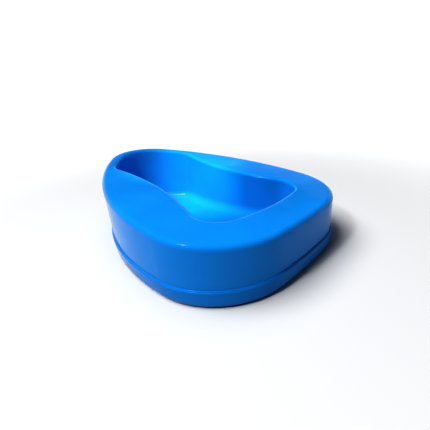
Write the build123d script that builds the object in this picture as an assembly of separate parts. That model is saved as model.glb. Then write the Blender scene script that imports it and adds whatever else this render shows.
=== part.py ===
from build123d import *

from math import atan2, cos, radians, sin, sqrt, tan
import os

# Plastic bedpan: a hollow seat-and-bowl shell standing in a shallow base tray.
#
# Sizes are millimetres.  +X points to the wide seat end, -X to the narrow pouring
# mouth and +Z up.  The pan is mirror-symmetric about the XZ plane, and the origin
# is the centre of the bounding box, on the floor the pan stands on.

# Overall plan.  The mouth of the deck is one end and the tray's rim the other.
LENGTH = 369.0
HALF_WIDTH = 139.5
WIDEST_TO_SEAT_END = 113.0
MOUTH_END_RADIUS = 70.0
CORNER_RADIUS = 96.0
SEAT_END_RADIUS = 700.0

# Heights.  The deck is one long hollow curve from the mouth down to the seat end.
MOUTH_HEIGHT = 108.0
SEAT_HEIGHT = 66.0
DECK_SAG = 4.5
BOWL_FLOOR = 10.0

# Slopes of the walls, in degrees from upright.
MOUTH_RAKE = 4.0
SEAT_FLARE = -0.7
BOWL_DRAFT = 5.0

# Plan of the opening, with the bowl's widths taken at seat height.
DECK_AT_SEAT_END = 51.5
BOWL_END_RADIUS = 300.0
BOWL_CORNER_RADIUS = 33.5
BOWL_HALF_WIDTH = 84.5
NECK_TO_BOWL_END = 171.0
NECK_HALF_WIDTH = 59.0
MOUTH_LIP = 16.0
MOUTH_CORNER_RADIUS = 24.0

# Moulded walls and roundings.
WALL = 2.6
DECK_EDGE_RADIUS = 6.0
LIP_RADIUS = 5.0
BOWL_FLOOR_RADIUS = 14.0

# Base tray, with a ledge and tongue that seat the foot of the skirt.
FIT_CLEARANCE = 0.2
TRAY_FLOOR = 2.6
LEDGE_HEIGHT = BOWL_FLOOR - WALL
RIM_HEIGHT = 19.8
RIM_STEP = 2.2
RIM_DRAFT = 3.0
RIM_TOP_RADIUS = 0.8
TRAY_EDGE_RADIUS = 7.0
TONGUE_WALL = 2.4
TONGUE_HEIGHT = 15.0

# Ribs on the tray that carry the bowl.
RIB_WALL = 2.6
RIB_COUNT = 6
RIB_END_INSET = 4.0
RIB_TO_MOUTH_END = 64.0
RIB_TO_BOWL_END = 36.0

# Welded bead in the corner between the rim and the skirt.
BEAD_WIDTH = 1.3
BEAD_HEIGHT = 1.2
BEAD_RADIUS = 0.8

# Every cutting solid ends at this level, above the whole deck.
CLEAR_TOP = MOUTH_HEIGHT + 9.0
BLOCK_MARGIN = 40.0


def drafted(level_drop, angle):
    """Sideways shift of a drafted wall over a change of height."""
    return level_drop * tan(radians(angle))


def rounded_off():
    """How far the mouth's sharp corner would pass the rounding that replaces it."""
    wall_angle = radians(90 - MOUTH_RAKE)
    deck_angle = atan2(MOUTH_HEIGHT - SEAT_HEIGHT + 4 * DECK_SAG, LENGTH)
    half_angle = (wall_angle - deck_angle) / 2
    bisector_angle = (wall_angle + deck_angle) / 2
    return DECK_EDGE_RADIUS * (cos(bisector_angle) / sin(half_angle) - 1)


# Places along the pan that follow from the sizes above, all but the first at seat height.
MOUTH_CORNER_X = -LENGTH / 2 - rounded_off()
MOUTH_END_X = MOUTH_CORNER_X + drafted(MOUTH_HEIGHT - SEAT_HEIGHT, MOUTH_RAKE)
SEAT_END_X = LENGTH / 2 - RIM_STEP - drafted(SEAT_HEIGHT - RIM_HEIGHT, SEAT_FLARE)
BOWL_END_X = SEAT_END_X - DECK_AT_SEAT_END
NECK_X = BOWL_END_X - NECK_TO_BOWL_END


def shared_tangent_centre(centre_a, radius_a, centre_b, radius_b):
    """Upper crossing of two circles: the centre of an arc blending two others."""
    span_x = centre_b[0] - centre_a[0]
    span_y = centre_b[1] - centre_a[1]
    span = sqrt(span_x**2 + span_y**2)
    along = (radius_a**2 - radius_b**2 + span**2) / (2 * span)
    across = sqrt(radius_a**2 - along**2)
    foot_x = centre_a[0] + along * span_x / span
    foot_y = centre_a[1] + along * span_y / span
    side = 1 if span_x > 0 else -1
    return (foot_x - side * across * span_y / span, foot_y + side * across * span_x / span)


def point_beyond(centre_a, centre_b, reach):
    """Point on the ray from centre A through centre B, at a distance from A."""
    span_x = centre_b[0] - centre_a[0]
    span_y = centre_b[1] - centre_a[1]
    span = sqrt(span_x**2 + span_y**2)
    return (centre_a[0] + reach * span_x / span, centre_a[1] + reach * span_y / span)


def arc(start, centre, end):
    """Short arc about a centre from one point to another."""
    radius = sqrt((start[0] - centre[0]) ** 2 + (start[1] - centre[1]) ** 2)
    chord_middle = ((start[0] + end[0]) / 2, (start[1] + end[1]) / 2)
    return ThreePointArc(start, point_beyond(centre, chord_middle, radius), end)


def mirrored_face(half_outline):
    """Face bounded by a half outline above the X axis and its mirror image."""
    halves = half_outline + [edge.mirror(Plane.XZ) for edge in half_outline]
    return make_face(halves)


def plan_at(level, mouth_x, mouth_slope, end_x, end_slope):
    """Scale and shift that carry a seat-height plan to a level, down sloping walls."""
    mouth_there = mouth_x + drafted(SEAT_HEIGHT - level, mouth_slope)
    end_there = end_x + drafted(SEAT_HEIGHT - level, end_slope)
    factor = (end_there - mouth_there) / (end_x - mouth_x)
    return factor, end_there - factor * end_x


def skirt_plan(growth=0.0):
    """Rounded triangle: crowned seat end, big corners, long sides, round mouth."""
    end_centre = (SEAT_END_X - SEAT_END_RADIUS, 0)
    widest_x = SEAT_END_X - WIDEST_TO_SEAT_END
    mouth_centre = (MOUTH_END_X + MOUTH_END_RADIUS, 0)
    reach = widest_x - mouth_centre[0]
    side_square = reach**2 + HALF_WIDTH**2 - MOUTH_END_RADIUS**2
    side_radius = side_square / (2 * (HALF_WIDTH - MOUTH_END_RADIUS))
    side_centre = (widest_x, HALF_WIDTH - side_radius)
    corner_centre = shared_tangent_centre(
        end_centre, SEAT_END_RADIUS - CORNER_RADIUS, side_centre, side_radius - CORNER_RADIUS
    )
    end_to_corner = point_beyond(end_centre, corner_centre, SEAT_END_RADIUS + growth)
    corner_to_side = point_beyond(side_centre, corner_centre, side_radius + growth)
    side_to_mouth = point_beyond(side_centre, mouth_centre, side_radius + growth)
    return mirrored_face([
        arc((SEAT_END_X + growth, 0), end_centre, end_to_corner),
        arc(end_to_corner, corner_centre, corner_to_side),
        arc(corner_to_side, side_centre, side_to_mouth),
        arc(side_to_mouth, mouth_centre, (MOUTH_END_X - growth, 0)),
    ])


def skirt_outline(level, growth=0.0):
    """Outline of the skirt, or one parallel to it, at a level."""
    factor, shift = plan_at(level, MOUTH_END_X, MOUTH_RAKE, SEAT_END_X, SEAT_FLARE)
    return Pos(shift, 0, level) * scale(skirt_plan(growth / factor), factor)


def opening_plan(growth=0.0):
    """Keyhole: wide rounded bowl, narrow neck, and a mouth that follows the skirt."""
    end_centre = (BOWL_END_X - BOWL_END_RADIUS, 0)
    corner_y = BOWL_HALF_WIDTH - BOWL_CORNER_RADIUS
    corner_reach = sqrt((BOWL_END_RADIUS - BOWL_CORNER_RADIUS) ** 2 - corner_y**2)
    corner_centre = (end_centre[0] + corner_reach, corner_y)
    end_to_corner = point_beyond(end_centre, corner_centre, BOWL_END_RADIUS + growth)
    rise = NECK_HALF_WIDTH - corner_y
    run_square = (corner_centre[0] - NECK_X) ** 2 + rise**2 - BOWL_CORNER_RADIUS**2
    neck_radius = run_square / (2 * (BOWL_CORNER_RADIUS - rise))
    neck_centre = (NECK_X, NECK_HALF_WIDTH + neck_radius)
    corner_to_neck = point_beyond(neck_centre, corner_centre, neck_radius - growth)
    drop = sqrt((neck_radius - growth) ** 2 - (MOUTH_END_X - NECK_X) ** 2)
    neck_end = (MOUTH_END_X, neck_centre[1] - drop)
    keyhole = mirrored_face([
        arc((BOWL_END_X + growth, 0), end_centre, end_to_corner),
        arc(end_to_corner, corner_centre, corner_to_neck),
        arc(corner_to_neck, neck_centre, neck_end),
        Line(neck_end, (MOUTH_END_X, 0)),
    ])
    opening = keyhole & skirt_plan(growth - MOUTH_LIP)
    neck_meets_mouth = opening.vertices().group_by(Axis.X)[1]
    return fillet(neck_meets_mouth, MOUTH_CORNER_RADIUS + growth)


def opening_outline(level, growth=0.0):
    """Outline of the bowl's inside, or one parallel to it, at a level."""
    mouth_x = MOUTH_END_X + MOUTH_LIP
    factor, shift = plan_at(level, mouth_x, MOUTH_RAKE, BOWL_END_X, -BOWL_DRAFT)
    return Pos(shift, 0, level) * scale(opening_plan(growth / factor), factor)


def under_deck(drop):
    """Everything below the deck's curve, or below a parallel curve a wall lower."""
    run = SEAT_END_X - MOUTH_CORNER_X
    fall = MOUTH_HEIGHT - SEAT_HEIGHT
    half_chord = sqrt(run**2 + fall**2) / 2
    radius = (half_chord**2 + DECK_SAG**2) / (2 * DECK_SAG)
    lift = (radius - DECK_SAG) / (2 * half_chord)
    centre_x = (MOUTH_CORNER_X + SEAT_END_X) / 2 + fall * lift
    centre_z = (MOUTH_HEIGHT + SEAT_HEIGHT) / 2 + run * lift
    width = 2 * (HALF_WIDTH + BLOCK_MARGIN)
    block = Pos(0, 0, CLEAR_TOP / 2) * Box(LENGTH + 2 * BLOCK_MARGIN, width, CLEAR_TOP)
    return block - Pos(centre_x, 0, centre_z) * Rot(90, 0, 0) * Cylinder(radius + drop, 2 * width)


def skirt_block(growth):
    """Solid inside the skirt's outer face, or inside a face parallel to it."""
    foot = skirt_outline(LEDGE_HEIGHT, growth)
    return loft([foot, skirt_outline(CLEAR_TOP, growth)], ruled=True)


def bowl_block(wall):
    """Solid that fills the bowl, or fills it out to the far side of its wall."""
    floor = opening_outline(BOWL_FLOOR - wall, wall)
    block = loft([floor, opening_outline(CLEAR_TOP, wall)], ruled=True)
    return fillet(block.faces().sort_by(Axis.Z)[0].edges(), BOWL_FLOOR_RADIUS + wall)


def deck_face(solid):
    """The deck, which is the only large face on a cylinder."""
    return solid.faces().filter_by(GeomType.CYLINDER).sort_by(SortBy.AREA)[-1]


def upper_shell():
    """Deck, skirt and bowl moulded as one wall, open underneath round the bowl."""
    body = skirt_block(0) & under_deck(0)
    body = fillet(deck_face(body).edges(), DECK_EDGE_RADIUS)
    hollow = skirt_block(-WALL) & under_deck(WALL)
    hollow = fillet(deck_face(hollow).edges(), DECK_EDGE_RADIUS - WALL)
    hollow = hollow - bowl_block(WALL)
    hollow = fillet(deck_face(hollow).inner_wires()[0].edges(), LIP_RADIUS - WALL)
    shell = body - bowl_block(0)
    shell = fillet(deck_face(shell).inner_wires()[0].edges(), LIP_RADIUS)
    return shell - hollow


def skirt_groove():
    """Room in the tray for the foot of the skirt, between the rim and the tongue."""
    way_in = extrude(skirt_outline(LEDGE_HEIGHT, FIT_CLEARANCE), RIM_HEIGHT - LEDGE_HEIGHT)
    tongue_room = Pos(0, 0, TONGUE_HEIGHT / 2) * Box(LENGTH, 2 * HALF_WIDTH, TONGUE_HEIGHT)
    tongue = skirt_block(-WALL - FIT_CLEARANCE) & tongue_room
    return way_in + skirt_block(FIT_CLEARANCE) - tongue


def tray_hollow():
    """Room inside the tongue, down to the tray's floor."""
    inside = skirt_outline(LEDGE_HEIGHT, -WALL - FIT_CLEARANCE - TONGUE_WALL)
    return extrude(Pos(0, 0, TRAY_FLOOR - LEDGE_HEIGHT) * inside, RIM_HEIGHT)


def bowl_ribs():
    """Row of ribs across the tray's floor, under the flat of the bowl."""
    narrowing = drafted(SEAT_HEIGHT - LEDGE_HEIGHT, BOWL_DRAFT) + BOWL_FLOOR_RADIUS
    half_span = NECK_HALF_WIDTH - narrowing - RIB_END_INSET
    rib = Box(RIB_WALL, 2 * half_span, LEDGE_HEIGHT - TRAY_FLOOR)
    first_x = -LENGTH / 2 + RIB_TO_MOUTH_END
    pitch = (BOWL_END_X - RIB_TO_BOWL_END - first_x) / (RIB_COUNT - 1)
    middle_z = (LEDGE_HEIGHT + TRAY_FLOOR) / 2
    return [Pos(first_x + index * pitch, 0, middle_z) * rib for index in range(RIB_COUNT)]


def base_tray():
    """Shallow tray: floor, outer rim, ledge and tongue for the skirt, and bowl ribs."""
    bottom_growth = RIM_STEP - drafted(RIM_HEIGHT, RIM_DRAFT)
    tray = loft([skirt_outline(0, bottom_growth), skirt_outline(RIM_HEIGHT, RIM_STEP)], ruled=True)
    tray = fillet(tray.faces().sort_by(Axis.Z)[0].edges(), TRAY_EDGE_RADIUS)
    tray = fillet(tray.faces().sort_by(Axis.Z)[-1].edges(), RIM_TOP_RADIUS)
    tray = tray - skirt_groove() - tray_hollow()
    for rib in bowl_ribs():
        tray = tray + rib
    return tray


def seam_bead():
    """Quarter-round bead on top of the rim, against the skirt, all the way round."""
    bead = extrude(skirt_outline(RIM_HEIGHT, BEAD_WIDTH), BEAD_HEIGHT)
    bead = fillet(bead.faces().sort_by(Axis.Z)[-1].edges(), BEAD_RADIUS)
    return bead - skirt_block(0)


os.makedirs("parts", exist_ok=True)
for name, piece in {
    "upper_shell": upper_shell(),
    "base_tray": base_tray(),
    "seam_bead": seam_bead(),
}.items():
    export_step(piece, f"parts/{name}.step")
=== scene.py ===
import math

import bpy
from mathutils import Matrix, Vector


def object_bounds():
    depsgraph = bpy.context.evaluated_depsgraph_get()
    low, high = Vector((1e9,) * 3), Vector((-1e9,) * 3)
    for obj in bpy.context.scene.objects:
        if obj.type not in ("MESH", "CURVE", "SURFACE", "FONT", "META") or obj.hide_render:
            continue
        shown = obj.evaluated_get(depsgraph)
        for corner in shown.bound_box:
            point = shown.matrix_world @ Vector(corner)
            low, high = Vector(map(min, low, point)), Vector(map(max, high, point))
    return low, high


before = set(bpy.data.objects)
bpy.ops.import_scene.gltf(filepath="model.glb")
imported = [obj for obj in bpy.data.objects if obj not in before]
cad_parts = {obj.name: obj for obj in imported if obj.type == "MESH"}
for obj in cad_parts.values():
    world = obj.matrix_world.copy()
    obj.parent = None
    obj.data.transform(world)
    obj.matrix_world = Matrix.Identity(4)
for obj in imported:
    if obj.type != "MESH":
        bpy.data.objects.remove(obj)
cad_low, cad_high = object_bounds()

# Camera at the photograph's viewing angle, in metres and degrees, aimed past the pan's middle.
IMAGE_SIDE = 430
CAMERA_AZIMUTH = 41.63
CAMERA_ELEVATION = 19.28
CAMERA_ROLL = -2.34
CAMERA_DISTANCE = 0.4312
CAMERA_TARGET = (0.0485, 0.0437, 0.050)
FOCAL_PIXELS = 283.93
VIEW_CENTRE = (243.5, 196.0)
SENSOR_WIDTH = 36.0

# Studio.  The backdrop is pale low behind the pan, and dim overhead and beside the seat end.
FLOOR_RADIUS = 8.0
FLOOR_SIDES = 96
FLOOR_DROP = 0.0002
FLOOR_TINT = (0.52, 0.523, 0.526, 1.0)
FLOOR_ROUGHNESS = 0.9
GLOW_FROM = 0.16
GLOW_TO = 1.2
GLOW_STRENGTH = 0.55
PALE_SIDE = (0.74, 0.75, 0.76, 1.0)
DIM_SIDE = (0.035, 0.04, 0.055, 1.0)
PALE_SIDE_AZIMUTH = 205
FADE_REACH = 0.5
BACKDROP_TOP = 0.26
BACKDROP_FADE = 0.14
SUN_STRENGTH = 2.7
SUN_AZIMUTH = 320
SUN_ELEVATION = 60
SUN_SPREAD = 40
SOFTBOX_PLACE = (0.0, -0.07, 0.48)
SOFTBOX_SIDE = 0.35
SOFTBOX_POWER = 0.8
NECK_SPOT_AZIMUTH = 20
NECK_SPOT_ELEVATION = 52
NECK_SPOT_DISTANCE = 0.6
NECK_SPOT_TARGET = (-0.075, 0.045, 0.070)
NECK_SPOT_CONE = 22
NECK_SPOT_POWER = 24.0
FRONT_LAMP_AZIMUTH = 2
FRONT_LAMP_ELEVATION = 48
FRONT_LAMP_DISTANCE = 1.2
FRONT_LAMP_SIZE = 0.13
FRONT_LAMP_POWER = 5.0

# Glossy blue polypropylene, as linear colours.
SHELL_BLUE = (0.004, 0.172, 0.500)
TRAY_BLUE = (0.004, 0.155, 0.460)
BEAD_BLUE = (0.004, 0.165, 0.480)
CLOUDING_SCALE = 9.0
CLOUDING_DETAIL = 3.0
CLOUDING_FROM = 0.3
CLOUDING_TO = 0.7
CLOUDING_DEPTH = 0.10
WAVINESS_SCALE = 26.0
WAVINESS_DEPTH = 0.0010
WAVINESS_STRENGTH = 0.25
PEEL_SCALE = 420.0
PEEL_DEPTH = 0.0002
PEEL_STRENGTH = 0.12
BUMP_DETAIL = 1.0
PLASTIC_IOR = 1.49
SPECULAR_LEVEL = 0.10
SMUDGE_SCALE = 34.0
SMUDGE_DETAIL = 5.0
SMUDGE_FROM = 0.45
SMUDGE_TO = 0.75
SMOOTH_ROUGHNESS = 0.10
SMUDGED_ROUGHNESS = 0.22
SCRATCH_STRETCH = (9.0, 420.0, 140.0)
SCRATCH_TURNS = (18, 74, 131)
SCRATCH_DETAIL = 2.0
SCRATCH_FROM = 0.69
SCRATCH_TO = 0.78
SCRATCH_ROUGHNESS = 0.2


def direction(azimuth, elevation):
    """Unit vector from the pan towards a place given by its bearing from -Y and its height."""
    a = math.radians(azimuth)
    e = math.radians(elevation)
    return Vector((math.sin(a) * math.cos(e), -math.cos(a) * math.cos(e), math.sin(e)))


def add_camera():
    """Camera that looks down its own bearing, rolled a little, with the frame's centre shifted."""
    back = direction(CAMERA_AZIMUTH, CAMERA_ELEVATION)
    level_right = Vector((0, 0, 1)).cross(back).normalized()
    level_up = back.cross(level_right)
    roll = math.radians(CAMERA_ROLL)
    right = math.cos(roll) * level_right + math.sin(roll) * level_up
    up = math.cos(roll) * level_up - math.sin(roll) * level_right
    turn = Matrix((right, up, back)).transposed().to_4x4()
    data = bpy.data.cameras.new("photo_camera")
    data.sensor_width = SENSOR_WIDTH
    data.lens = SENSOR_WIDTH * FOCAL_PIXELS / IMAGE_SIDE
    data.shift_x = 0.5 - VIEW_CENTRE[0] / IMAGE_SIDE
    data.shift_y = VIEW_CENTRE[1] / IMAGE_SIDE - 0.5
    data.clip_start = 0.01
    camera = bpy.data.objects.new("photo_camera", data)
    bpy.context.scene.collection.objects.link(camera)
    place = Vector(CAMERA_TARGET) + back * CAMERA_DISTANCE
    camera.matrix_world = Matrix.Translation(place) @ turn
    bpy.context.scene.camera = camera


def add_light(name, kind, place, power, target=(cad_low + cad_high) / 2):
    """Light of a kind at a place, aimed at a target, or else at the middle of the pan."""
    data = bpy.data.lights.new(name, kind)
    data.energy = power
    light = bpy.data.objects.new(name, data)
    bpy.context.scene.collection.objects.link(light)
    light.location = place
    away = Vector(place) - Vector(target)
    light.rotation_euler = away.to_track_quat("Z", "Y").to_euler()
    return light


def add_lights():
    """Soft light from the left, over the bowl and on the neck, and a lamp for the front highlight."""
    side = add_light("broad_side", "SUN", direction(SUN_AZIMUTH, SUN_ELEVATION), SUN_STRENGTH)
    side.data.angle = math.radians(SUN_SPREAD)
    side.visible_glossy = False
    above = add_light("bowl_softbox", "AREA", SOFTBOX_PLACE, SOFTBOX_POWER)
    above.data.size = SOFTBOX_SIDE
    above.visible_glossy = False
    above.visible_camera = False
    target = Vector(NECK_SPOT_TARGET)
    place = target + direction(NECK_SPOT_AZIMUTH, NECK_SPOT_ELEVATION) * NECK_SPOT_DISTANCE
    neck = add_light("neck_spot", "SPOT", place, NECK_SPOT_POWER, target)
    neck.data.spot_size = math.radians(NECK_SPOT_CONE)
    neck.data.spot_blend = 1.0
    neck.visible_glossy = False
    place = direction(FRONT_LAMP_AZIMUTH, FRONT_LAMP_ELEVATION) * FRONT_LAMP_DISTANCE
    lamp = add_light("front_lamp", "AREA", place, FRONT_LAMP_POWER)
    lamp.data.shape = "DISK"
    lamp.data.size = FRONT_LAMP_SIZE


def joined(tree, kind, sources, **settings):
    """New node with attributes set, and its inputs joined to sockets or given values."""
    node = tree.nodes.new(kind)
    for name, value in settings.items():
        setattr(node, name, value)
    for key, source in sources.items():
        if isinstance(source, bpy.types.NodeSocket):
            tree.links.new(source, node.inputs[key])
        else:
            node.inputs[key].default_value = source
    return node


def blended(tree, factor, low, high):
    """Colour that goes from low to high as the factor goes from 0 to 1."""
    ramp = joined(tree, "ShaderNodeValToRGB", {"Fac": factor})
    ramp.color_ramp.elements[0].color = low
    ramp.color_ramp.elements[1].color = high
    return ramp.outputs["Color"]


def spread(tree, value, from_low, from_high, to_low, to_high):
    """Value eased from one range to another."""
    sources = {
        "Value": value,
        "From Min": from_low,
        "From Max": from_high,
        "To Min": to_low,
        "To Max": to_high,
    }
    return joined(tree, "ShaderNodeMapRange", sources, interpolation_type="SMOOTHSTEP").outputs["Result"]


def add_world():
    """Backdrop that is pale and low behind the pan, and dim overhead and beside the seat end."""
    world = bpy.data.worlds.new("studio")
    world.use_nodes = True
    tree = world.node_tree
    outward = tree.nodes.new("ShaderNodeTexCoord").outputs["Generated"]
    pale_way = direction(PALE_SIDE_AZIMUTH, 0)
    facing = joined(tree, "ShaderNodeVectorMath", {0: outward, 1: pale_way}, operation="DOT_PRODUCT")
    beside = spread(tree, facing.outputs["Value"], -FADE_REACH, FADE_REACH, 0.0, 1.0)
    height = joined(tree, "ShaderNodeSeparateXYZ", {"Vector": outward}).outputs["Z"]
    low = spread(tree, height, BACKDROP_TOP, BACKDROP_TOP + BACKDROP_FADE, 1.0, 0.0)
    pale = joined(tree, "ShaderNodeMath", {0: beside, 1: low}, operation="MULTIPLY").outputs[0]
    tree.links.new(blended(tree, pale, DIM_SIDE, PALE_SIDE), tree.nodes["Background"].inputs["Color"])
    bpy.context.scene.world = world


def add_floor():
    """Pale round floor just under the pan, lit up to the backdrop's brightness further out."""
    bpy.ops.mesh.primitive_circle_add(vertices=FLOOR_SIDES, radius=FLOOR_RADIUS, fill_type="NGON")
    floor = bpy.context.object
    floor.name = "studio_floor"
    floor.location.z = -FLOOR_DROP
    material = bpy.data.materials.new("floor_paper")
    material.use_nodes = True
    tree = material.node_tree
    shader = tree.nodes["Principled BSDF"]
    shader.inputs["Base Color"].default_value = FLOOR_TINT
    shader.inputs["Roughness"].default_value = FLOOR_ROUGHNESS
    shader.inputs["Specular IOR Level"].default_value = 0.0
    places = tree.nodes.new("ShaderNodeTexCoord").outputs["Object"]
    reach = joined(tree, "ShaderNodeVectorMath", {0: places}, operation="LENGTH").outputs["Value"]
    glow = spread(tree, reach, GLOW_FROM, GLOW_TO, 0.0, GLOW_STRENGTH)
    shader.inputs["Emission Color"].default_value = PALE_SIDE
    tree.links.new(glow, shader.inputs["Emission Strength"])
    floor.data.materials.append(material)


def noise(tree, places, scale, detail):
    """Soft random pattern at a scale, from 0 to 1."""
    sources = {"Vector": places, "Scale": scale, "Detail": detail}
    return joined(tree, "ShaderNodeTexNoise", sources).outputs["Fac"]


def scratches(tree, places, turn):
    """Fine, sparse wiping scratches that run one way across the pan."""
    sources = {"Vector": places, "Rotation": (0, 0, math.radians(turn)), "Scale": SCRATCH_STRETCH}
    streaks = noise(tree, joined(tree, "ShaderNodeMapping", sources).outputs["Vector"], 1.0, SCRATCH_DETAIL)
    return spread(tree, streaks, SCRATCH_FROM, SCRATCH_TO, 0.0, 1.0)


def most_of(tree, values):
    """Greatest of several values."""
    greatest = values[0]
    for value in values[1:]:
        greatest = joined(tree, "ShaderNodeMath", {0: greatest, 1: value}, operation="MAXIMUM").outputs[0]
    return greatest


def gloss(tree, places):
    """Roughness: smooth plastic with handling smudges and wiping scratches."""
    smudges = noise(tree, places, SMUDGE_SCALE, SMUDGE_DETAIL)
    smudged = spread(tree, smudges, SMUDGE_FROM, SMUDGE_TO, SMOOTH_ROUGHNESS, SMUDGED_ROUGHNESS)
    marks = most_of(tree, [scratches(tree, places, turn) for turn in SCRATCH_TURNS])
    scratched = spread(tree, marks, 0.0, 1.0, 0.0, SCRATCH_ROUGHNESS)
    return most_of(tree, [smudged, scratched])


def surface_bumps(tree, places):
    """Normal of a moulded wall: slow waviness under fine orange peel."""
    waves = joined(tree, "ShaderNodeBump", {
        "Height": noise(tree, places, WAVINESS_SCALE, BUMP_DETAIL),
        "Distance": WAVINESS_DEPTH,
        "Strength": WAVINESS_STRENGTH,
    })
    peel = joined(tree, "ShaderNodeBump", {
        "Height": noise(tree, places, PEEL_SCALE, BUMP_DETAIL),
        "Normal": waves.outputs["Normal"],
        "Distance": PEEL_DEPTH,
        "Strength": PEEL_STRENGTH,
    })
    return peel.outputs["Normal"]


def tinted(blue, factor):
    """The same blue, lighter or darker."""
    return (blue[0] * factor, blue[1] * factor, blue[2] * factor, 1.0)


def moulded_plastic(name, blue):
    """Glossy plastic: faint clouding, moulding waves, orange peel, smudges and scratches."""
    material = bpy.data.materials.new(name)
    material.use_nodes = True
    tree = material.node_tree
    shader = tree.nodes["Principled BSDF"]
    places = tree.nodes.new("ShaderNodeTexCoord").outputs["Object"]
    patches = noise(tree, places, CLOUDING_SCALE, CLOUDING_DETAIL)
    clouds = spread(tree, patches, CLOUDING_FROM, CLOUDING_TO, 0.0, 1.0)
    deep = tinted(blue, 1 - CLOUDING_DEPTH)
    pale = tinted(blue, 1 + CLOUDING_DEPTH)
    tree.links.new(blended(tree, clouds, deep, pale), shader.inputs["Base Color"])
    tree.links.new(gloss(tree, places), shader.inputs["Roughness"])
    tree.links.new(surface_bumps(tree, places), shader.inputs["Normal"])
    shader.inputs["IOR"].default_value = PLASTIC_IOR
    shader.inputs["Specular IOR Level"].default_value = SPECULAR_LEVEL
    return material


def dress(node, material):
    """Gives a CAD node its finish."""
    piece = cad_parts[node]
    piece.data.materials.clear()
    piece.data.materials.append(material)


dress("upper_shell", moulded_plastic("shell_plastic", SHELL_BLUE))
dress("base_tray", moulded_plastic("tray_plastic", TRAY_BLUE))
dress("seam_bead", moulded_plastic("bead_plastic", BEAD_BLUE))

add_floor()
add_world()
add_lights()
add_camera()
bpy.context.scene.view_settings.view_transform = "Standard"
bpy.context.scene.view_settings.look = "High Contrast"
